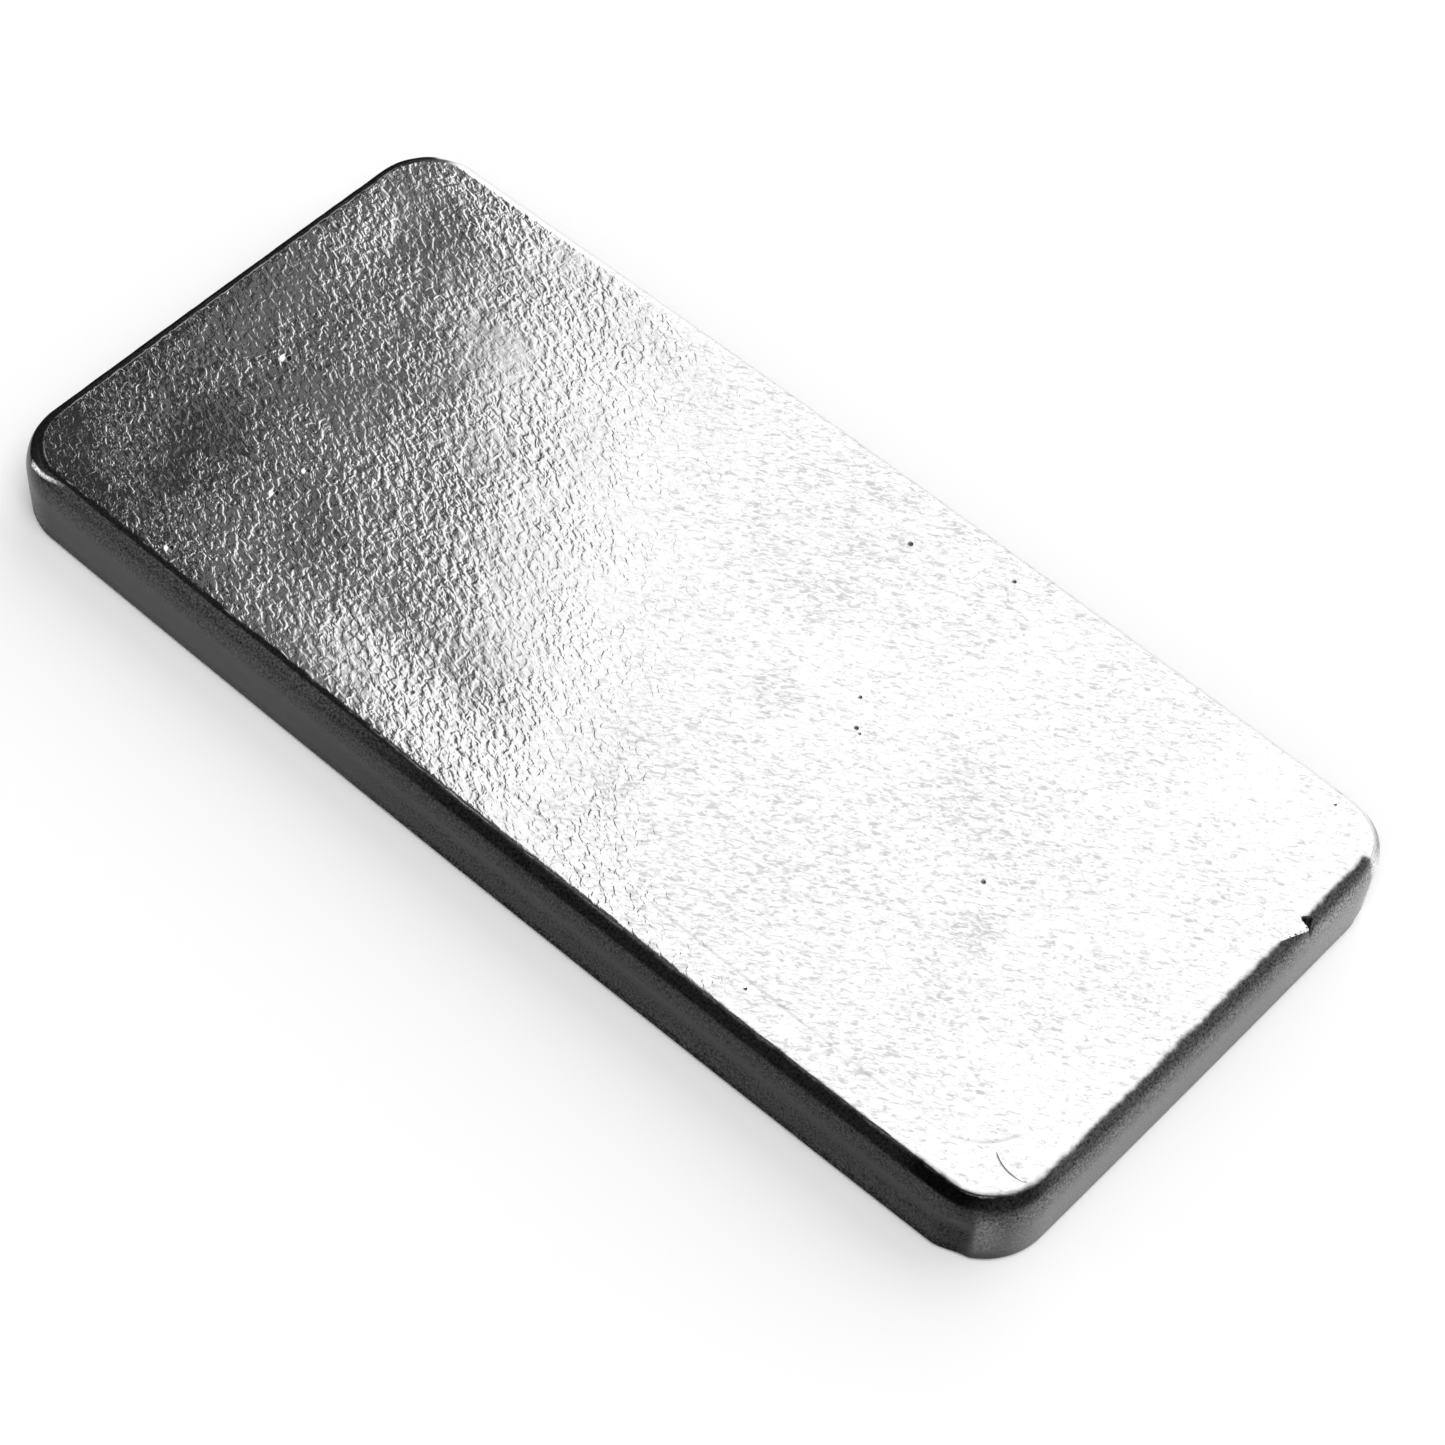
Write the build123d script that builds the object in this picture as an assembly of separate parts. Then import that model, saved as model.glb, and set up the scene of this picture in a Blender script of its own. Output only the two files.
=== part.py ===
from build123d import *
import os
from math import radians, tan

# A cast metal ingot: a flat slab poured into an open mould. The mould shaped the upright wall, the
# crowned sides and the rounded foot. The liquid metal shaped the soft shoulder above the pour line
# and the face on top, which sank a little inside its frozen rim.
# X runs along the slab, Y across it, Z up. The origin is the middle of the underside.

# Plan at the pour line, the widest level (mm)
length = 162.0
width = 77.6
corner_radius = 9.2
long_side_crown = 0.76
end_crown = 0.16

# Height of the slab, and of the shoulder at the top of it (mm)
thickness = 11.4
shoulder_height = 2.3

# Mould wall: it leans outward going up, and it ends in a rounded foot (degrees, mm)
draft_angle = 1.5
foot_radius = 0.85

# Shoulder: it leans inward, with a wide round at the pour line and a tighter one at the rim (degrees, mm)
shoulder_lean = 30.0
pour_line_radius = 4.2
rim_radius = 1.45

# Sunken field inside the frozen rim of the top face (mm, degrees)
rim_width = 4.8
field_corner_radius = 8.5
field_depth = 0.2
field_slope = 70.0

# Chip broken out of the top edge of the +X end (mm)
chip_from_middle = 18.0
chip_width = 2.6
chip_reach = 0.4
chip_depth = 2.6

pour_line = thickness - shoulder_height
draft_inset = pour_line * tan(radians(draft_angle))
shoulder_inset = shoulder_height * tan(radians(shoulder_lean))
rim_inset = shoulder_inset + rim_radius * tan(radians((90 - shoulder_lean) / 2))
field_inset = rim_inset + rim_width
field_run = field_depth * tan(radians(field_slope))


def crown_arc_radius(half_chord, crown):
    """Radius of the arc that rises by crown over a chord of twice half_chord."""
    return (half_chord**2 + crown**2) / (2 * crown)


def crowned_plan(inset, radius, level):
    """Plan at a level: the overlap of four large discs, one for each side, with rounded corners."""
    side_arc = crown_arc_radius(length / 2 - end_crown, long_side_crown)
    end_arc = crown_arc_radius(width / 2 - long_side_crown, end_crown)
    plan = None
    for turn, half_size, arc in ((0, length / 2, end_arc), (90, width / 2, side_arc)):
        for side in (0, 180):
            disc = Rot(0, 0, turn + side) * Pos(half_size - arc, 0) * Rot(0, 0, 180) * Circle(arc - inset)
            plan = disc if plan is None else plan & disc
    return Pos(0, 0, level) * fillet(plan.vertices(), radius)


def edges_at(solid, level):
    """The edges of a solid that lie in the level plane at that height."""
    return solid.edges().filter_by_position(Axis.Z, level, level)


def slab():
    """Mould wall and shoulder in one, rounded at the foot, at the pour line and at the rim."""
    underside = crowned_plan(draft_inset, corner_radius - draft_inset, 0)
    brim = crowned_plan(0, corner_radius, pour_line)
    top = crowned_plan(shoulder_inset, corner_radius - shoulder_inset, thickness)
    body = loft([underside, brim], ruled=True) + loft([brim, top], ruled=True)
    for level, radius in ((0, foot_radius), (pour_line, pour_line_radius), (thickness, rim_radius)):
        body = fillet(edges_at(body, level), radius)
    return body


def sunken_field():
    """Shallow hollow of the top face, with a gentle slope all round."""
    floor_radius = field_corner_radius - field_run
    floor = crowned_plan(field_inset + field_run, floor_radius, thickness - field_depth)
    mouth = crowned_plan(field_inset, field_corner_radius, thickness)
    return loft([floor, mouth], ruled=True)


def chip():
    """Three-sided break in the top edge of the +X end."""
    outer_x = length / 2
    inner_x = outer_x - rim_inset - chip_reach
    mouth = make_face(
        Polyline(
            (inner_x, chip_from_middle, thickness),
            (outer_x, chip_from_middle - chip_width / 2, thickness),
            (outer_x, chip_from_middle + chip_width / 2, thickness),
            close=True,
        )
    )
    return loft([mouth.face(), Vertex(outer_x, chip_from_middle, thickness - chip_depth)])


ingot = slab() - sunken_field() - chip()

os.makedirs("parts", exist_ok=True)
export_step(ingot, "parts/ingot.step")
print("ingot volume in cubic centimetres", ingot.volume / CM**3, "size", ingot.bounding_box().size)
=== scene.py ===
# %% [markdown]
# A cast metal ingot.
# The real slab was poured in one go into an open mould, so it is one piece of metal with two kinds of skin:
# dull, granular walls where it touched the mould, and a bright, frosted face on top where the melt froze in the air.
# This lesson builds that slab as one dense mesh, gives it one finish that changes from wall to face,
# and lights it with a large soft panel behind it, on a plain pale floor.

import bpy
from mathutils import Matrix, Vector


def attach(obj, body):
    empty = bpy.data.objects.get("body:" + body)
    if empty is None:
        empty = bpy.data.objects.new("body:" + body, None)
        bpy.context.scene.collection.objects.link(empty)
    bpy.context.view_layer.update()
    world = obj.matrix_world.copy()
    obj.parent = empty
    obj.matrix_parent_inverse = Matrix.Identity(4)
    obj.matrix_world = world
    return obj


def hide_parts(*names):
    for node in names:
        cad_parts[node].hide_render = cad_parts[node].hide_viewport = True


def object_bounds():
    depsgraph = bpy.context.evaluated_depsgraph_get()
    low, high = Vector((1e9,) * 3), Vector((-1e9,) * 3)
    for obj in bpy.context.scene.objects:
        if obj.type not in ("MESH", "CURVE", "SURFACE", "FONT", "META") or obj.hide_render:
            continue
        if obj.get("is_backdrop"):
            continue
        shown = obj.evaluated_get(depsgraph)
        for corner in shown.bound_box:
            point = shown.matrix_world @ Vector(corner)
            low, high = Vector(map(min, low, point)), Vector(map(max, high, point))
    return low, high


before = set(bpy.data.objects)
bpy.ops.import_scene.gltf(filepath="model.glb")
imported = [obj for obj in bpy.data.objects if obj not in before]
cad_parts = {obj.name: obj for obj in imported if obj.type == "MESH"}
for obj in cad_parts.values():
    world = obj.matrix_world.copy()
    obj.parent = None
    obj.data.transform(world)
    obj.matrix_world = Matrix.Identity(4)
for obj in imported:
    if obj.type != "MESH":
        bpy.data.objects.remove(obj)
cad_low, cad_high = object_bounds()
print("packed part from", list(cad_low), "to", list(cad_high))

# %% [markdown]
# Blender works in metres, but the details of a casting are easier to think of in millimetres.
# All shapes below are worked out in millimetres with numpy, and scaled once, when the mesh is made.
# The length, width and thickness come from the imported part, so that the dressed slab has its size.

# %% Sizes of the slab
import math
from functools import reduce

import bpy
import numpy as np
from mathutils import Matrix, Vector

MM = 0.001
half_length = cad_high.x / MM
half_width = cad_high.y / MM
thickness = cad_high.z / MM
corner_radius = 9.2
long_side_crown = 0.76
end_crown = 0.16
print("slab", round(2 * half_length, 2), "x", round(2 * half_width, 2), "x", round(thickness, 2), "mm")

# %% [markdown]
# The plan of the slab is a rectangle with rounded corners and slightly crowned sides.
# The face starts as a plain grid of rows and columns, a little inside that plan. An even grid would need a fine step
# everywhere. Here the rows stand closer together only where there is something small to show: along the line where
# the face began to freeze, and at the chip in the edge.

# %% Rows and columns of the face
grid_margin = 3.0
grid_step = 0.52
fine_step = 0.17
freezing_line_y, freezing_line_reach = -31.85, 0.8
chip_y, chip_y_reach = 18.4, 2.3


def spaced(low, high, fine_places):
    """Positions from low to high, a coarse step apart, and a fine step near each (place, reach)."""
    stops = [low]
    while stops[-1] < high:
        near = any(abs(stops[-1] - place) < reach for place, reach in fine_places)
        stops.append(stops[-1] + (fine_step if near else grid_step))
    stops = np.array(stops)
    return low + (stops - low) * (high - low) / (stops[-1] - low)


fine_rows = [(freezing_line_y, freezing_line_reach), (chip_y, chip_y_reach)]
columns = spaced(-(half_length - grid_margin), half_length - grid_margin, [])
rows = spaced(-(half_width - grid_margin), half_width - grid_margin, fine_rows)
print("face grid", len(columns), "columns by", len(rows), "rows")

# %% [markdown]
# The grid needs the slab's rounded, crowned outline. It could be cut out of a larger grid, but cutting leaves odd
# slivers along the edge. Here it is bent instead: in each corner its squares are drawn in to a quarter disc, and its
# rows and columns follow the crown. The grid's border is then the outline itself.
# The real corner at +X and +Y isn't a true arc, so it gets one gentle bulge and one gentle dent.

# %% Bend the grid to the plan
right_corner_humps = ((50, 18, 0.4), (10, 12, -0.2))


def rounded(x, y, margin):
    """Moves points of a rectangle to the crowned plan with rounded corners, a margin inside the outline."""
    radius = corner_radius - margin
    centre_x, centre_y = half_length - corner_radius, half_width - corner_radius
    u, v = np.abs(x) - centre_x, np.abs(y) - centre_y
    in_corner = (u > 0) & (v > 0)
    reach = np.maximum(np.hypot(u, v), 1e-9)
    turn = np.degrees(np.arctan2(v, u))
    pull = np.where(in_corner, np.maximum(u, v) / reach, 1.0)
    for angle, spread, rise in right_corner_humps:
        near_border = np.clip(reach * pull / radius, 0, 1) ** 2
        hump = rise * np.exp(-(((turn - angle) / spread) ** 2)) * near_border
        pull = np.where(in_corner & (x > 0) & (y > 0), pull + hump / reach, pull)
    bent_x = np.where(in_corner, np.sign(x) * (centre_x + u * pull), x)
    bent_y = np.where(in_corner, np.sign(y) * (centre_y + v * pull), y)
    crowned_x = bent_x * (1 - end_crown / half_length * (bent_y / half_width) ** 2)
    crowned_y = bent_y * (1 - long_side_crown / half_width * (bent_x / half_length) ** 2)
    return crowned_x, crowned_y


face_x, face_y = rounded(*np.meshgrid(columns, rows), grid_margin)
print("face spans", face_x.min(), face_x.max(), face_y.min(), face_y.max())

# %% [markdown]
# The face of the slab froze in the open air, so it isn't flat. Broad swells, a few centimetres across, bend the
# reflections into soft clouds, and the rim wanders a little.
# Blender's noise textures could move the points, but numpy gives more control over the size of the waves:
# random numbers are filtered so that only waves between two lengths are left. The random numbers start from
# a fixed seed, so the same slab comes out each time.

# %% Noise with waves between two lengths
field_step = 0.25
field_span = (176.0, 96.0)
draw = np.random.default_rng(11)


def waves(shortest, longest):
    """A field of random waves, of mean square one, whose lengths lie between shortest and longest."""
    shape = [int(span / field_step) for span in reversed(field_span)]
    spectrum = np.fft.fft2(draw.standard_normal(shape))
    across = np.hypot(*np.meshgrid(np.fft.fftfreq(shape[1], field_step), np.fft.fftfreq(shape[0], field_step)))
    keep = np.exp(-((across * shortest) ** 4)) * (1 - np.exp(-((across * longest) ** 4)))
    field = np.real(np.fft.ifft2(spectrum * keep))
    return field / field.std()


def sampled(field, x, y):
    """The field's value at points of the plan, between its own samples."""
    u = (np.asarray(x) + field_span[0] / 2) / field_step
    v = (np.asarray(y) + field_span[1] / 2) / field_step
    i, j = np.floor(u).astype(int), np.floor(v).astype(int)
    s, t = u - i, v - j
    upper = field[j, i] * (1 - s) + field[j, i + 1] * s
    lower = field[j + 1, i] * (1 - s) + field[j + 1, i + 1] * s
    return upper * (1 - t) + lower * t


swell_waves = waves(16.0, 60.0)
peel_waves = waves(1.7, 4.5)
print("noise fields", swell_waves.shape)

# %% [markdown]
# Inside the line where it began to freeze, the metal sank a little as it shrank. The line shows as a fine, broken
# groove along the near side and round one corner, and it fades out along the rest. Three very low mounds and one
# wide hollow bend the reflections into clouds.
# Sculpting would do it by hand. Here each is a simple function of the place on the plan, and the height is their sum,
# so each can be changed on its own.

# %% Height of the face
freezing_line_margin = half_width + freezing_line_y
freezing_line_radius = 8.5
rim_drop = 0.02
sink_depth = 0.10
sink_outer, sink_inner = -5, 8
swell_height = 0.012
groove_depth = 0.013
groove_inner, groove_outer = 0.14, 0.5
groove_near, groove_right, groove_unbroken = (20, 30), (-34, -26), (-1.5, 0.5)
mounds = ((-52.0, 13.0, 9.0, 0.05), (-62.0, 34.0, 10.0, 0.10), (-22.0, -6.0, 14.0, 0.07), (-18.0, -36.0, 20.0, -0.13))


def smooth_step(value, low, high):
    """Goes smoothly from 0 at low to 1 at high."""
    t = np.clip((value - low) / (high - low), 0, 1)
    return t * t * (3 - 2 * t)


def inside_freezing_line(x, y):
    """Distance inside the freezing line, in millimetres, negative outside it."""
    u = np.abs(x) - (half_length - freezing_line_margin - freezing_line_radius)
    v = np.abs(y) - (half_width - freezing_line_margin - freezing_line_radius)
    outside = np.hypot(np.maximum(u, 0), np.maximum(v, 0)) + np.minimum(np.maximum(u, v), 0)
    return freezing_line_radius - outside


def face_height(x, y):
    """Height of the frozen face above the floor, in millimetres."""
    inside = inside_freezing_line(x, y)
    swell = swell_height * sampled(swell_waves, x, y)
    for mound_x, mound_y, radius, rise in mounds:
        swell = swell + rise * np.exp(-(((x - mound_x) ** 2 + (y - mound_y) ** 2) / radius**2))
    unbroken = smooth_step(sampled(peel_waves, x, y), *groove_unbroken)
    line_here = smooth_step(-y, *groove_near) * smooth_step(x, *groove_right) * unbroken
    groove = np.exp(-((inside / np.where(inside > 0, groove_inner, groove_outer)) ** 2))
    sunk = (swell - sink_depth) * smooth_step(inside, sink_outer, sink_inner)
    return np.minimum(thickness - rim_drop + sunk - groove_depth * line_here * groove, thickness)


face_z = face_height(face_x, face_y)
print("face between", round(face_z.min(), 3), "and", round(face_z.max(), 3), "mm")

# %% [markdown]
# Outside the face, the slab has the same section all round: a soft shoulder that the surface of the melt rounded
# over, the wall that the mould shaped, and the rounded foot.
# A bevel modifier rounds an edge to a circle, but this shoulder is taller than it is wide. So the section is drawn
# as a line of points, with a quarter of an ellipse for the shoulder and an arc for the foot.

# %% Section of the shoulder, wall and foot
shoulder_inset = 2.3
shoulder_start = 7.46
shoulder_points, shoulder_crowding = 17, 1.25
foot_inset = 0.24
foot_radius = 0.85
foot_points = 6
lip_insets = (2.75, 2.5)
wall_shares = (0.2, 0.4, 0.6, 0.8)


def arc(before, corner, after, radius, count):
    """Points of the round that replaces a corner of the section."""
    before, corner, after = (np.array(p, float) for p in (before, corner, after))
    back = (before - corner) / np.linalg.norm(before - corner)
    on = (after - corner) / np.linalg.norm(after - corner)
    half = math.acos(np.clip(back @ on, -1, 1)) / 2
    middle = corner + (back + on) / np.linalg.norm(back + on) * radius / math.sin(half)
    first, last = (corner + way * radius / math.tan(half) - middle for way in (back, on))
    span = math.acos(np.clip(first @ last / radius**2, -1, 1))
    return [
        middle + (first * math.sin(span * (1 - t)) + last * math.sin(span * t)) / math.sin(span)
        for t in np.linspace(0, 1, count)
    ]


lip = [np.array((lip_inset, thickness)) for lip_inset in lip_insets]
turns = np.radians(90 * (1 - np.linspace(0, 1, shoulder_points) ** shoulder_crowding))
shoulder_height = thickness - shoulder_start
shoulder = [
    np.array((shoulder_inset * (1 - math.cos(turn)), shoulder_start + shoulder_height * math.sin(turn)))
    for turn in turns
]
foot = arc((0, shoulder_start), (foot_inset, 0), (grid_margin, 0), foot_radius, foot_points)
wall = [shoulder[-1] + (foot[0] - shoulder[-1]) * share for share in wall_shares]
section = np.array(lip + shoulder + wall + foot)
print("section of", len(section), "points")

# %% [markdown]
# The section is swept round the slab. A curve with a bevel object could do that, but its points would not meet those
# of the face. So the border of the face grid is followed, point by point, with the direction outward from each.

# %% Border of the face
border = np.concatenate([
    np.stack([face_x[0], face_y[0]], 1)[:-1], np.stack([face_x[:, -1], face_y[:, -1]], 1)[:-1],
    np.stack([face_x[-1], face_y[-1]], 1)[:0:-1], np.stack([face_x[:, 0], face_y[:, 0]], 1)[:0:-1],
])
along = np.roll(border, -1, 0) - np.roll(border, 1, 0)
outward = np.stack([along[:, 1], -along[:, 0]], 1) / np.linalg.norm(along, axis=1)[:, None]
print("border of", len(border), "points")

# %% [markdown]
# A bit of the top edge has broken out at the +X end. It left a three-sided hollow, and next to it a thin flake of
# the face that reaches out over the shoulder. A boolean cut would leave ragged triangles in so dense a mesh. Here the
# points that lie there are moved instead: down to the broken plane in the hollow, and up to the face on the flake.

# %% Chip and flake
chip_tip, chip_right, chip_low = (78.5, 19.05, 11.4), (79.58, 20.33, 11.02), (80.3, 19.25, 9.9)
flake_tip, flake_root = (80.4, 18.68), (79.6, 16.5)
flake_level = 11.33
flake_edge = 0.12
chip_inner_x = chip_tip[0] - 0.2


def side_of(x, y, first, last):
    """Distance of points to the left of the line from first to last on the plan."""
    run_x, run_y = last[0] - first[0], last[1] - first[1]
    return (run_x * (y - first[1]) - run_y * (x - first[0])) / math.hypot(run_x, run_y)


def chipped(x, y, z):
    """Moves points to the broken plane of the chip and to the flake beside it."""
    normal = np.cross(np.subtract(chip_right, chip_tip), np.subtract(chip_low, chip_tip))
    broken = chip_tip[2] - (normal[0] * (x - chip_tip[0]) + normal[1] * (y - chip_tip[1])) / normal[2]
    in_hollow = (x > chip_inner_x) & (side_of(x, y, chip_tip, flake_tip) > 0)
    z = np.where(in_hollow, np.minimum(z, broken), z)
    on_flake = np.minimum(side_of(x, y, flake_tip, chip_tip), side_of(x, y, flake_root, flake_tip))
    share = smooth_step(on_flake, 0, flake_edge) * (z < flake_level) * (x > chip_inner_x)
    return z + (flake_level - z) * share


face_points = np.stack([face_x, face_y, chipped(face_x, face_y, face_z)], -1).reshape(-1, 3)
print("chip of", np.subtract(face_z.ravel(), face_points[:, 2]).max().round(2), "mm in the face")

# %% [markdown]
# The front corner isn't a true round either: low on the wall it has a small flat, which fades out towards the rim.
# Cutting it with a plane would leave two hard edges. So each point of the border gets a distance by which the wall
# below it is pressed in, from a smooth curve that is zero at both ends of the flat. Dividing by the curve's own peak
# makes the depth come out as it is given.

# %% Flat of the front corner
flat_start, flat_span = 56, 34
flat_depth = 0.3
flat_peak = 4 / 27
flat_low, flat_high = 6.0, 9.5

past_x = border[:, 0] - (half_length - corner_radius)
past_y = -border[:, 1] - (half_width - corner_radius)
past_flat = np.clip((np.degrees(np.arctan2(past_y, past_x)) - flat_start) / flat_span, 0, 1)
past_flat = np.where((past_x > 0) & (past_y > 0), past_flat, 0)
flat = flat_depth / flat_peak * past_flat * (1 - past_flat) ** 2
print("flat up to", round(flat.max(), 2), "mm deep")

# %% [markdown]
# Each point of the section now becomes a ring of points round the slab. The upper rings take part in the swells of
# the face and wander in and out by hundredths of a millimetre, which breaks up the light along the rim.
# A displace modifier would move the foot as well, and the foot has to stay where the mould put it.

# %% Rings round the slab
rim_waves = waves(2.5, 14.0)
rim_wander = 0.02
rim_low = 8.8
wander_outer, wander_inner = (0.0, 0.6), (2.0, 2.6)
swell_outer, swell_inner = 0.6, 2.3

rings = []
for inset, level in section:
    wall_flat = flat * (1 - smooth_step(level, flat_low, flat_high))
    x, y = (border + outward * (grid_margin - inset - wall_flat)[:, None]).T
    high = smooth_step(level, rim_low, thickness)
    on_rim = high * smooth_step(inset, *wander_outer) * smooth_step(-inset, -wander_inner[1], -wander_inner[0])
    wander = rim_wander * on_rim * sampled(rim_waves, x, y)
    x = np.clip(x + outward[:, 0] * wander, -half_length, half_length)
    y = np.clip(y + outward[:, 1] * wander, -half_width, half_width)
    z = level + (face_height(x, y) - thickness) * smooth_step(inset, swell_outer, swell_inner) * high
    rings.append(np.stack([x, y, chipped(x, y, z)], 1))
print(len(rings), "rings")

# %% [markdown]
# The underside is out of sight and plain, so it takes only a few wider strips, drawn in towards the middle, and a fan.
# Then the mesh is stitched from all these points: the face as a grid of squares, and a strip of squares between each
# two rings. Blender's bridge tool could join the rings, but the order of the points is known, so plain lists do.

# %% Stitch the slab
underside_shares = (0.8, 0.45, 0.15)

for share in underside_shares:
    rings.append(np.column_stack([rings[len(section) - 1][:, :2] * share, np.zeros(len(border))]))
points = np.concatenate([face_points, *rings, [[0.0, 0.0, 0.0]]])
index = np.arange(face_x.size).reshape(face_x.shape)
squares = np.stack([index[:-1, :-1], index[:-1, 1:], index[1:, 1:], index[1:, :-1]], -1).reshape(-1, 4)
loop = np.concatenate([index[0, :-1], index[:-1, -1], index[-1, :0:-1], index[:0:-1, 0]])
strips = []
for number in range(len(rings)):
    outer = face_x.size + number * len(border) + np.arange(len(border))
    strips.append(np.stack([loop, outer, np.roll(outer, -1), np.roll(loop, -1)], 1))
    loop = outer
middle = np.full(len(border), len(points) - 1)
fan = np.stack([loop, middle, np.roll(loop, -1)], 1)
faces = np.concatenate([squares, *strips]).tolist() + fan.tolist()
print("slab of", sum(len(f) - 2 for f in faces), "triangles")

# %% [markdown]
# The mesh becomes an object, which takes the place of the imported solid. It is shaded smooth, as a casting is, apart
# from the chip: broken metal has sharp facets, and smooth shading would turn them into a soft ring. Splitting the
# edges there would do it as well, but it opens the mesh. Flat shading of those few faces leaves it closed.

# %% Make the object
facet_x, facet_low = chip_tip[0] - 0.3, 9.0
facet_y, facet_reach = 18.2, 2.4

slab_mesh = bpy.data.meshes.new("ingot_casting")
slab_mesh.from_pydata((points * MM).tolist(), [], faces)
slab_mesh.validate()
slab_mesh.shade_smooth()
centres = np.zeros(3 * len(slab_mesh.polygons))
slab_mesh.polygons.foreach_get("center", centres)
middle_x, middle_y, middle_z = centres.reshape(-1, 3).T / MM
facets = (middle_x > facet_x) & (np.abs(middle_y - facet_y) < facet_reach) & (middle_z > facet_low)
slab_mesh.polygons.foreach_set("use_smooth", ~facets)
slab = bpy.data.objects.new("ingot_casting", slab_mesh)
bpy.context.scene.collection.objects.link(slab)
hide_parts("ingot")
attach(slab, "root")
print(slab.name, "with", int(facets.sum()), "sharp facets")

# %% [markdown]
# A finish in Blender is a tree of nodes. Written as plain calls it soon becomes hard to read, so this small class
# wraps one socket of the tree: arithmetic on it adds Math nodes, and its node method adds any other node.

# %% A socket that can be calculated with


class Dial:
    """One output socket of a shader tree."""

    def __init__(self, tree, socket=None):
        self.tree, self.socket = tree, socket

    def node(self, kind, settings=None, output=0, **sockets):
        """Adds a node of a kind, with its settings, and sets or links its sockets, named or numbered as s0, s1."""
        made = self.tree.nodes.new(kind)
        for name, value in (settings or {}).items():
            setattr(made, name, value)
        for name, value in sockets.items():
            target = made.inputs[int(name[1:]) if name[1:].isdigit() else name.replace("_", " ")]
            if isinstance(value, Dial):
                self.tree.links.new(value.socket, target)
            else:
                target.default_value = value
        return Dial(self.tree, made.outputs[output] if made.outputs else None)

    def math(self, operation, first, second):
        return self.node("ShaderNodeMath", {"operation": operation}, s0=first, s1=second)

    def __add__(self, other):
        return self.math("ADD", self, other)

    def __sub__(self, other):
        return self.math("SUBTRACT", self, other)

    def __rsub__(self, other):
        return self.math("SUBTRACT", other, self)

    def __mul__(self, other):
        return self.math("MULTIPLY", self, other)

    def __truediv__(self, other):
        return self.math("DIVIDE", self, other)

    def __abs__(self):
        return self.math("ABSOLUTE", self, 0.0)

    __radd__, __rmul__ = __add__, __mul__

    def step(self, low, high):
        """Goes smoothly from 0 at low to 1 at high."""
        settings = {"interpolation_type": "SMOOTHSTEP"}
        return self.node("ShaderNodeMapRange", settings, Value=self, From_Min=low, From_Max=high)

    def band(self, start, full, ebb, end):
        """Rises from 0 at start to 1 at full, and falls again from ebb to end."""
        return self.step(start, full) * (1 - self.step(ebb, end))

    def dot(self, direction):
        """How far a vector points along a fixed direction."""
        return self.node("ShaderNodeVectorMath", {"operation": "DOT_PRODUCT"}, output=1, s0=self, s1=direction)

    def grey(self):
        """The value as a grey colour."""
        return self.node("ShaderNodeCombineColor", Red=self, Green=self, Blue=self)


def largest(*dials):
    """The largest of several values."""
    return reduce(lambda top, other: top.math("MAXIMUM", top, other), dials)


def smallest(*dials):
    """The smallest of several values."""
    return reduce(lambda low, other: low.math("MINIMUM", low, other), dials)


print("dials ready")

# %% [markdown]
# Everything in the finish depends on the place on the slab, in millimetres. Image textures would need an unwrapped
# mesh, and they blur close up. A place in the object's own coordinates needs neither, and rides along with it.
# Noise gives the random part of a finish, and round spots give the marks that have a place of their own.
# In the cells below, the two numbers of a step on a place are millimetres on the slab: where something starts, and
# where it is full. A band has four of them, because it ends as well.

# %% Place on the slab
metal = bpy.data.materials.new("cast_metal")
metal.use_nodes = True
metal.node_tree.nodes.clear()
start = Dial(metal.node_tree)
here = start.node("ShaderNodeTexCoord", output="Object")
place = here.node("ShaderNodeVectorMath", {"operation": "SCALE"}, s0=here, Scale=1 / MM)
place_x, place_y, place_z = (place.dot(axis) for axis in ((1, 0, 0), (0, 1, 0), (0, 0, 1)))


def noise(where, scale, detail, roughness=0.5, distortion=0.0):
    """Blender's noise, between 0 and 1 with its middle at 0.5."""
    return start.node("ShaderNodeTexNoise", Vector=where, Scale=scale, Detail=detail,
                      Roughness=roughness, Distortion=distortion)


def stretched(size, angle):
    """The place on the slab, turned and squeezed so that a noise on it has lumps of that size."""
    settings = {"vector_type": "TEXTURE"}
    return start.node("ShaderNodeMapping", settings, Vector=place, Rotation=(0, 0, angle), Scale=size)


def spot(x, y, inner, outer):
    """A round spot on the face: 1 within inner millimetres of its middle, 0 beyond outer."""
    middle = (x, y, thickness)
    away = start.node("ShaderNodeVectorMath", {"operation": "DISTANCE"}, output=1, s0=place, s1=middle)
    return 1 - away.step(inner, outer)


print("finish of", metal.name)

# %% [markdown]
# The finish also has to know how far in from the outline a place is. A painted mask would do it for this slab alone.
# Here the distance is worked out from the same crowns and corners that shaped the mesh.

# %% Distance in from the outline


def rounded_reach(reach_x, reach_y):
    """Distance from the middle of a rounded corner, for points beyond it along either side."""
    over_x, over_y = largest(reach_x, 0.0), largest(reach_y, 0.0)
    squared = over_x * over_x + over_y * over_y
    return squared.math("POWER", squared, 0.5)


crowned_x = abs(place_x) + (end_crown / half_width**2) * place_y * place_y
crowned_y = abs(place_y) + (long_side_crown / half_length**2) * place_x * place_x
inset = corner_radius - rounded_reach(
    crowned_x - (half_length - corner_radius), crowned_y - (half_width - corner_radius)
)
print("inset is", corner_radius, "mm at the middle of a corner")

# %% [markdown]
# The bright skin of the face ends on the shoulder, at an edge that wanders by about half a millimetre. Along the far
# side it reaches further down, and it covers the flake beside the chip. An edge at one distance all round would look
# cut with a knife. So the inset is shifted by a low noise and by those two places, and the face is where the shifted
# inset is large enough.

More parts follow.
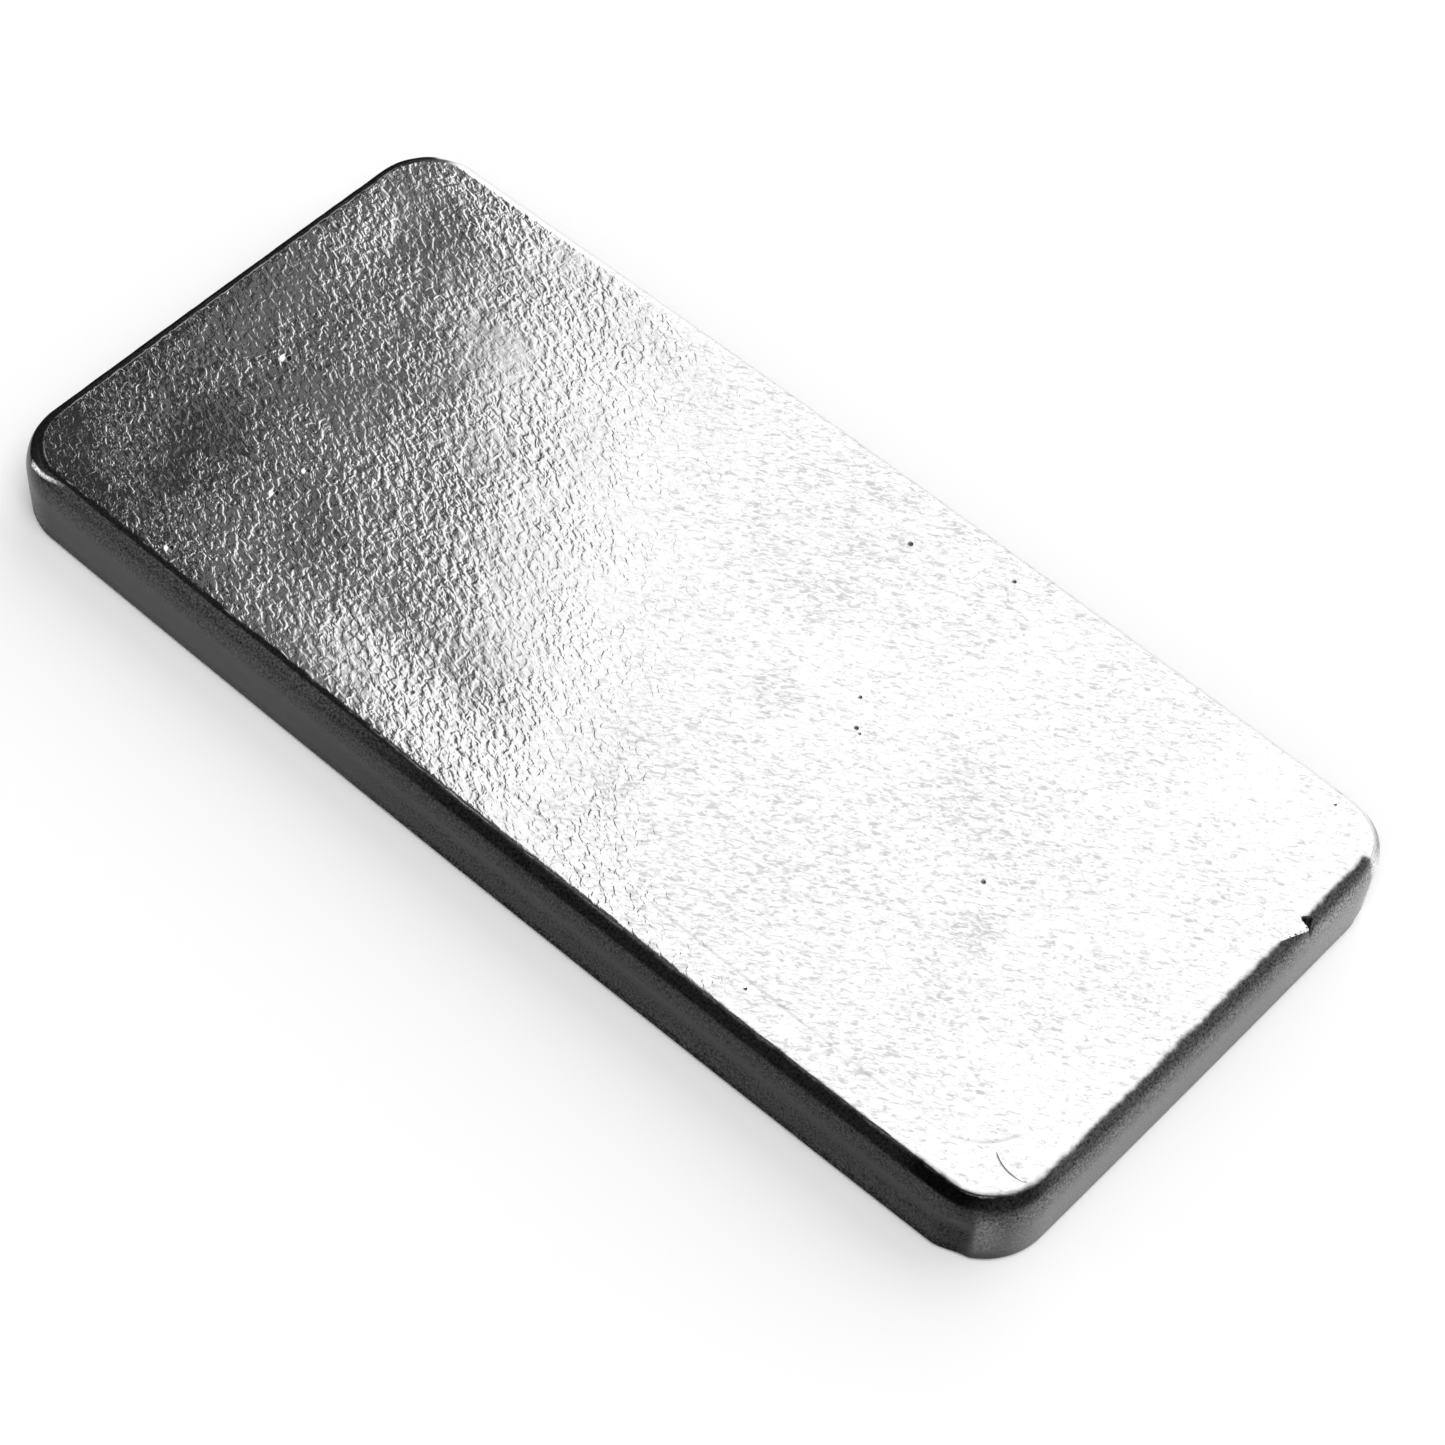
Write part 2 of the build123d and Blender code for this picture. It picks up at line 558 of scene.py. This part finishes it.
# %% Where the face ends
far_start, far_end = 34.5, 36.0
far_turn = 3.6
far_reach = 1.3
flake_reach = 2.0
edge_wander = 1.1
face_start, face_full = 1.6, 2.3

far_side = (place_y + far_turn * place_x.step(40, 70)).step(far_start, far_end)
flake = smallest(side_of(place_x, place_y, flake_tip, chip_tip), side_of(place_x, place_y, flake_root, flake_tip))
flake = flake.step(0.0, flake_edge) * place_x.step(chip_tip[0] - 0.3, chip_inner_x)
edge_noise = noise(place, 0.35, 3.0, 0.7) - 0.5
edge_in = inset + far_reach * far_side + flake_reach * flake + (edge_wander - edge_wander * far_side) * edge_noise
on_face = edge_in.step(face_start, face_full)
print("face begins between", face_start, "and", face_full, "mm in from the outline")

# %% [markdown]
# The frozen face is covered with a fine grain: short ridges, about a millimetre long, that lie mostly one way.
# It is too fine for the mesh, so it is bump: a noise that is stretched along the ridges. Part of it is steepened
# into plateaus, which gives the crisp sparkle of frost. The grain is strongest at the end that froze first and calmer
# in the middle of the slab, and it dies away on the smooth rim. The walls have a finer sand, from the mould.

# %% Grain of the face
ridge_way = math.radians(-21)
ridge_size = (1.2, 0.82, 1.0)
grain_depth = 0.066
sand_depth_wall, sand_depth_face = 0.02, 0.0015
fade_way, fade_start = (0.828, 0.561, 0.0), -30.4
near_fade_shift = 22

grain = noise(stretched(ridge_size, ridge_way), 1.0, 1.8, 0.5, 0.4)
sand = noise(place, 3.6, 2.0, 0.6)
patches = noise(place, 0.1, 2.0)
past_fade = place.dot(fade_way) - fade_start
lively = 1 - 0.65 * (past_fade - near_fade_shift * (1 - place_y.step(-36, -20))).step(6, 34)
lively = lively * (1 - 0.45 * patches.step(0.47, 0.6)) * (1 - 0.5 * spot(-46, 15, 2, 12))
lively = lively * (1 + 0.4 * spot(-64, 34, 4, 18))
crisp = 0.45 * grain + 0.09 * grain.step(0.42, 0.58)
relief = crisp * (grain_depth * lively * inset.step(2.1, 2.5))
relief = relief + sand * (sand_depth_wall - (sand_depth_wall - sand_depth_face) * on_face)
print("grain of", ridge_size[0], "x", ridge_size[1], "mm")

# %% [markdown]
# Marks: pits where gas left the melt, and one curved hairline crack in a corner. Modelled holes would need a much
# finer mesh. So each pit's mask comes from the distance to its middle, and the crack's from the distance to a shallow
# curve. Most pits, and the crack, are darkened inside with painted shade. Those at the dim end are only hollows, whose
# far side catches the light.

# %% Pits and crack
dark_pits = (
    (-17.36, -29.40, 0.40), (10.27, 29.39, 0.45), (23.22, 33.83, 0.36), (21.21, 7.35, 0.34), (23.87, 3.55, 0.40),
    (24.70, 3.20, 0.28), (48.91, -2.85, 0.42), (38.88, -33.01, 0.28), (71.82, 34.72, 0.24),
)
bright_pits = ((-65.31, -3.12, 0.85), (-53.54, -34.42, 0.65), (-50.71, -19.51, 0.70), (-50.42, -14.31, 0.60))
dark_pit_floor = 0.35
mark_depth, bright_pit_depth = 0.06, 0.14
crack_x, crack_y, crack_bend = 76.2, -30.72, 0.115
crack_strength = 0.62

pit_mask = largest(*(spot(x, y, dark_pit_floor * radius, radius) for x, y, radius in dark_pits)) * on_face
hollow_mask = largest(*(spot(x, y, 0.0, radius) for x, y, radius in bright_pits)) * on_face
from_bend = place_x - crack_x
off_crack = abs(place_y - crack_y - crack_bend * from_bend * from_bend)
crack = (1 - off_crack.step(0.04, 0.16)) * place_x.band(73.0, 73.6, 77.6, 78.3) * on_face
marks = largest(pit_mask, crack * crack_strength)
relief = relief - marks * mark_depth - hollow_mask * bright_pit_depth
print(len(dark_pits), "dark pits,", len(bright_pits), "bright pits and a crack")

# %% [markdown]
# On the bright part of the face the grain shows only as faint grey dashes, which are painted shade of the grain.
# They are crowded in some places and rare in others, and at two given places they are crowded further. The freezing
# line is a faint grey as well, painted shade of its groove. Brush strokes could be painted, but a stretched noise, cut
# off at a level that another noise raises and lowers, gives dashes that never repeat.

# %% Painted shade of the grain on the bright face
dash_size = (1.1, 0.46, 1.0)
dash_way = math.radians(30)
dash_shade_strength, line_shade_strength = 0.36, 0.2
face_white = 0.86
dash_clusters = ((13.34, 1.1), (52.53, -8.62))
line_corner_x = half_length - freezing_line_margin - freezing_line_radius
line_corner_y = half_width - freezing_line_margin - freezing_line_radius

dashes = noise(stretched(dash_size, dash_way), 1.0, 2.0, 0.6, 0.9)
crowding = 0.25 * (noise(place, 0.045, 2.0, 0.6) - 0.5) - 0.05 * place_x.step(50, 75)
crowding = crowding + 0.10 * largest(*(spot(x, y, 0.5, 5.0) for x, y in dash_clusters))
# Painted shade of the grain, as dashes.
painted_grain_shade = (crowding + 0.5 - dashes).step(-0.02, 0.22) * past_fade.step(2, 28)
off_line = rounded_reach(abs(place_x) - line_corner_x, abs(place_y) - line_corner_y) - freezing_line_radius
# Painted shade along the groove of the freezing line.
freezing_line_shade = (1 - abs(off_line).step(0.08, 0.3)) * place_x.step(-20, 20) * (1 - place_y.step(-26, -22))
freezing_line_shade = freezing_line_shade * patches.step(0.4, 0.55)
face_grey_and_painted_shade = face_white * (1 - dash_shade_strength * painted_grain_shade) * (1 - line_shade_strength * freezing_line_shade)
print("dashes of", dash_size[0], "x", dash_size[1], "mm")

# %% [markdown]
# The wall froze against the mould and is a duller, granular grey. Light and shade are painted on that grey: painted
# shade makes the near side the darkest and painted light makes the +X end the lightest, more so towards its far
# corner.
# Painted shade darkens the foot, and at the front corner a painted highlight stands beside painted shade. One grey
# with a noise would look like plastic. So the grey is multiplied by a share for each of these places.

# %% Tone of the wall, with painted light and shade
wall_grey = 0.195
wall_share, near_painted_shade = 0.5, 0.34
front_corner_x, front_corner_y, diagonal = 71.77, -29.56, 0.707

blotches = noise(place, 0.12, 3.0, 0.6)
at_end = place_x.step(78.5, 80.3)
at_left = 1 - place_x.step(-50, 5)
along_corner = diagonal * (place_x - front_corner_x) + diagonal * (place_y - front_corner_y)
at_near = (1 - along_corner.step(-2.4, -1.2)) * (1 - place_y.step(-34, -28))
# Painted shade on the near wall and at the foot, painted light on the +X end and higher up, and on the near wall's
# left part.
painted_side_light = wall_share + at_end * (0.14 + 0.48 * place_y.step(8, 28)) - near_painted_shade * at_near
foot_shade = (0.85 - 0.45 * at_end) * (1 - place_z.step(0.9, 2.6))
painted_high_light = 1 + (0.5 * at_near + 0.35 * at_end) * place_z.step(6.8, 9.6)
painted_left_light = 1 + 0.35 * at_left * at_near
# Painted light at the far corner of the +X end, and a painted highlight beside painted shade at the front corner.
painted_far_corner_light = 1 + 2.5 * far_side * place_x.step(74, 78)
painted_corner_highlight = along_corner.band(-1.9, -1.2, -0.2, 2.4) * place_z.band(0.5, 5.5, 8.8, 9.4)
at_corner = place_x.step(68, 70) * (1 - place_y.step(-30, -28))
painted_corner_light_and_shade = 1 + at_corner * (0.6 * painted_corner_highlight - 0.3 * along_corner.band(-6.5, -2.5, 2.0, 5.5))
wall_grey_and_painted_light = wall_grey * painted_side_light * (1 - foot_shade) * painted_high_light * painted_left_light * painted_far_corner_light * painted_corner_light_and_shade
wall_grey_and_painted_light = wall_grey_and_painted_light * (1 + 3.5 * (sand - 0.5) + 0.3 * (blotches - 0.5))
print("wall grey", wall_grey)

# %% [markdown]
# Wall and face could be two materials, but those would meet in a hard line along the edges of the mesh. Here they
# blend in one shader of bare metal. It is fully metallic, so its grey is the colour of its reflections, and the
# roughness makes the difference between the bright face and the satin wall. The relief of the cells above tilts the
# reflections as bump.

# %% Bare metal
face_rough, wall_rough, mark_rough = 0.09, 0.34, 0.3
mark_painted_shade = 0.85

skin = edge_in.step(1.6, 2.2)
# The marks darken the grey with painted shade in the pits and the crack.
tone = (skin * face_grey_and_painted_shade + (1 - skin) * wall_grey_and_painted_light) * (1 - mark_painted_shade * marks)
roughness = on_face * (face_rough + 0.03 * (blotches - 0.5)) + (1 - on_face) * (wall_rough + 0.1 * (sand - 0.5))
roughness = roughness + mark_rough * marks
bump = start.node("ShaderNodeBump", Height=relief, Distance=MM, Strength=1.0)
bare = start.node("ShaderNodeBsdfPrincipled", Base_Color=tone.grey(), Roughness=roughness, Metallic=1.0, Normal=bump)
print("bare metal on", bare.socket.node.name)

# %% [markdown]
# Metal reflects at least a little from any angle, so no grey makes it as dark as the painted shade that lies along the
# rim, where it stands for dark reflections. That painted shade is a second, matt shader. It covers the shoulder on the
# near side and at both ends, in a band whose inner edge is a little further in at some places. It also fills the chip
# and darkens the lower part of the near wall. A mask painted by hand would need an unwrapped mesh, so it is put
# together from the place and the inset instead.

# %% Where the painted shade lies
chip_end = (80.72, 18.4)
rim_start, rim_end = 1.5, 2.5

right_end, left_end = place_x.step(74, 79), 1 - place_x.step(-79, -74)
front_corner, left_corner = spot(74.5, -35.2, 6.0, 10.0), spot(-78.5, -34.0, 3.0, 9.0)
near_left = place_x.band(-78, -68, -30, -2) * at_near
rim_shift = 0.25 * left_end + 0.22 * front_corner + 0.4 * left_corner
in_rim = 1 - edge_in.step(rim_start + rim_shift + 0.75 * near_left, rim_end + rim_shift + 0.2 * near_left)
# Painted shade along the shoulder of the rim, standing for dark reflections; it starts lower at the +X end.
painted_shade_rise = right_end * place_z.step(9.4, 11.2) + (1 - right_end) * place_z.step(10.1, 10.5)
rim_painted_shade = painted_shade_rise * in_rim * (1 - far_side)
chip_sides = ((chip_end, chip_right), (chip_right, chip_tip), (chip_tip, flake_tip))
# Painted shade in the hollow of the chip.
chip_painted_shade = smallest(*(side_of(place_x, place_y, first, last) for first, last in chip_sides))
chip_painted_shade = chip_painted_shade.step(0.0, flake_edge) * place_z.step(8.8, 9.4)
# Painted shade on the lower part of the near wall.
near_wall_painted_shade = 0.42 * (1 - place_z.step(5.0, 8.5)) + 0.45 * (1 - place_z.step(0.9, 2.6))
near_wall_painted_shade = near_wall_painted_shade * at_near * (1 - 0.4 * at_left) * (1 - inset.step(1.0, 1.5)) * (1 + 8 * (sand - 0.5))
print("oxide from", rim_start, "mm in from the outline")

# %% [markdown]
# The painted shade is nearly black. It is a dark grey at the +X end and on the near rim's left half, and at the left
# corner a painted highlight, a light line, crosses the shoulder. Mixing the colours alone would leave the metal's
# reflections on the painted shade, so a Mix Shader lays one whole shader over the other.

# %% Painted shade and highlight over the metal
painted_shade_black, painted_shade_end, painted_shade_left, glint_line_level = 0.0115, 0.048, 0.045, 0.8
glint_line_x, glint_line_inset, glint_line_slope = -74.2, 0.85, 0.15

# A painted highlight: a light line across the shoulder at the left corner.
painted_glint_line = 1 - abs(inset - glint_line_inset - glint_line_slope * (place_x - glint_line_x)).step(0.08, 0.28)
painted_glint_line = painted_glint_line * place_x.band(-76.2, -75.4, -74.0, -69) * (1 - place_y.step(-34, -32))
# The grey of the painted shade, darker in the chip and at the front corner, with the painted highlight added.
painted_shade_and_glint_tone = painted_shade_black + painted_shade_end * right_end + painted_shade_left * near_left * (1 - inset.step(1.6, 1.85))
painted_shade_and_glint_tone = (painted_shade_and_glint_tone + glint_line_level * painted_glint_line) * (1 - 0.8 * chip_painted_shade) * (1 - 0.75 * front_corner)
painted_shade_and_glint_tone = painted_shade_and_glint_tone * (1 + 4 * (sand - 0.5))
painted_shade_and_glint_bsdf = start.node("ShaderNodeBsdfPrincipled", Base_Color=painted_shade_and_glint_tone.grey(), Roughness=1.0,
                   Specular_IOR_Level=0.0, Normal=bump)
painted_shade_and_glint_share = largest(rim_painted_shade, chip_painted_shade, near_wall_painted_shade, painted_glint_line)
shader = start.node("ShaderNodeMixShader", s0=painted_shade_and_glint_share, s1=bare, s2=painted_shade_and_glint_bsdf)
start.node("ShaderNodeOutputMaterial", Surface=shader)
slab.data.materials.append(metal)
print("finish with", len(metal.node_tree.nodes), "nodes")

# %% [markdown]
# The slab lies on a plain pale floor. A curved backdrop would hide the horizon, but a sheet that is wide enough keeps
# its far edge out of sight as well, also in low views, and it takes the soft shadow of the slab.

# %% Floor
floor_half = 4.0
floor_grey = 0.95

corner_signs = ((-1, -1), (1, -1), (1, 1), (-1, 1))
floor_corners = [(sign_x * floor_half, sign_y * floor_half, 0) for sign_x, sign_y in corner_signs]
floor_mesh = bpy.data.meshes.new("floor")
floor_mesh.from_pydata(floor_corners, [], [(0, 1, 2, 3)])
floor = bpy.data.objects.new("floor", floor_mesh)
bpy.context.scene.collection.objects.link(floor)
floor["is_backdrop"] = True
paper = bpy.data.materials.new("pale_floor")
paper.use_nodes = True
paper_shader = paper.node_tree.nodes["Principled BSDF"]
paper_shader.inputs["Base Color"].default_value = (floor_grey, floor_grey, floor_grey, 1)
paper_shader.inputs["Roughness"].default_value = 0.9
paper_shader.inputs["Specular IOR Level"].default_value = 0.0
floor.data.materials.append(paper)
print("floor of", 2 * floor_half, "m")

# %% [markdown]
# Bare metal shows what is round it, so the light is the other half of the finish. On the face, grey changes to white
# along a slanting line. That line is the left edge of a large soft panel behind the slab, seen in the face as in a
# mirror. Its place could be tried out, render by render. It is quicker to mirror the camera in the face: the plane
# through the mirrored camera and two points of the line holds the edge.

# %% Edge of the panel
camera_place = Vector((192.01, -240.72, 409.73))
line_far, line_near = Vector((-58.5, 30, thickness)), Vector((-12.5, -35, thickness))

mirrored = Vector((camera_place.x, camera_place.y, 2 * thickness - camera_place.z))
left_edge = (line_far - mirrored).cross(line_near - mirrored).normalized()
print("left edge of the panel", list(left_edge))

# %% [markdown]
# The panel could be an area lamp, but one that is painted on the world is smooth and shows the same from every place.
# Each of its sides is a direction, and the panel is where the view is on the inner side of all of them.
# Left of it hang a few dim bars, which make the grain sparkle at the dim end.

# %% Panel and bars
bar_spacing, bar_place = 0.14, 0.16
panel_right, panel_tilt = (-0.87, 0.48, 0.1), math.radians(75)

world = bpy.data.worlds.new("room")
bpy.context.scene.world = world
world.use_nodes = True
world.node_tree.nodes.clear()
room = Dial(world.node_tree)
way = room.node("ShaderNodeTexCoord", output="Generated")
up = way.dot((0, 0, 1))
from_left = way.dot(left_edge)
from_top = way.dot((0, math.sin(panel_tilt), -math.cos(panel_tilt)))
panel = from_left.step(-0.025, 0.03) * way.dot(panel_right).step(-0.5, -0.3) * from_top.step(-0.05, 0.08)
panel = panel * up.step(0.0, 0.06)
bars = (from_left + bar_place) * (2 * math.pi / bar_spacing)
bars = bars.math("COSINE", bars, 0.0).step(-0.1, 0.7) * from_left.band(-0.28, -0.2, -0.06, -0.03) * up.step(0.35, 0.5)
print("bars", bar_spacing, "apart")

# %% [markdown]
# A strong patch overhead lights the floor. Low, dim lights in front and on the left reach the walls, and they keep
# the face from going black in other views. Lamps would do for these as well, but with all the light in one place,
# one sum shows how strong each part is. The rest of the room is nearly dark.

# %% Other lights and the room
room_level, panel_level, bar_level, overhead_level = 0.015, 1.18, 0.7, 5.0
front_level, front_left_level, side_level = 0.45, 0.35, 0.35
to_plus_x, to_minus_x, to_front = (way.dot(axis) for axis in ((1, 0, 0), (-1, 0, 0), (0, -1, 0)))


def patch(direction, outer, inner):
    """A round patch of light in a direction, full within the inner angle and gone beyond the outer one."""
    return way.dot(Vector(direction).normalized()).step(math.cos(math.radians(outer)), math.cos(math.radians(inner)))


front = to_plus_x.step(0.0, 0.3) * to_front.step(0.0, 0.3) * up.step(0.05, 0.2)
side = to_minus_x.step(0.5, 0.75) * up.band(0.05, 0.15, 0.34, 0.46)
light = room_level + front_level * front + side_level * side + bar_level * bars + panel_level * panel
light = light + overhead_level * patch((0.3, -0.25, 0.92), 26, 16)
light = light + front_left_level * patch((-0.55, -0.65, 0.5), 30, 12)
background = room.node("ShaderNodeBackground", Color=light.grey(), Strength=1.0)
room.node("ShaderNodeOutputWorld", Surface=background)
print("room with", len(world.node_tree.nodes), "nodes")

# %% [markdown]
# The camera looks down at the slab over its front corner. It could be aimed at an empty object, but then its roll and
# its lens would still be open. Its place, its turn and its lens were found by fitting the slab's outline, so they are
# given as they came out, the turn as three directions at right angles to each other.

# %% Camera
to_right, to_top, ahead = (0.74202, 0.66798, 0.05667), (-0.56353, 0.57574, 0.59242), (-0.3631, 0.47152, -0.80363)
lens, sensor_width = 104.308, 36
nearest = 0.01

scene = bpy.context.scene
scene.view_settings.view_transform = "Standard"
camera_data = bpy.data.cameras.new("camera")
camera_data.sensor_width = sensor_width
camera_data.lens = lens
camera_data.clip_start = nearest
camera = bpy.data.objects.new("camera", camera_data)
scene.collection.objects.link(camera)
turned = Matrix((to_right, to_top, -Vector(ahead))).transposed().to_4x4()
camera.matrix_world = Matrix.Translation(camera_place * MM) @ turned
scene.camera = camera
print("camera with a lens of", lens, "mm, looking down at", round(math.degrees(math.asin(-ahead[2])), 1), "degrees")

# %% [markdown]
# Last, the size of the dressed slab is printed, to be set beside the size of the imported part printed at the start.
# The finish may not make the object any larger. A ruler in the viewport would show it too.

# %% Size of the dressed slab
low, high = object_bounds()
print("dressed slab from", list(low), "to", list(high))
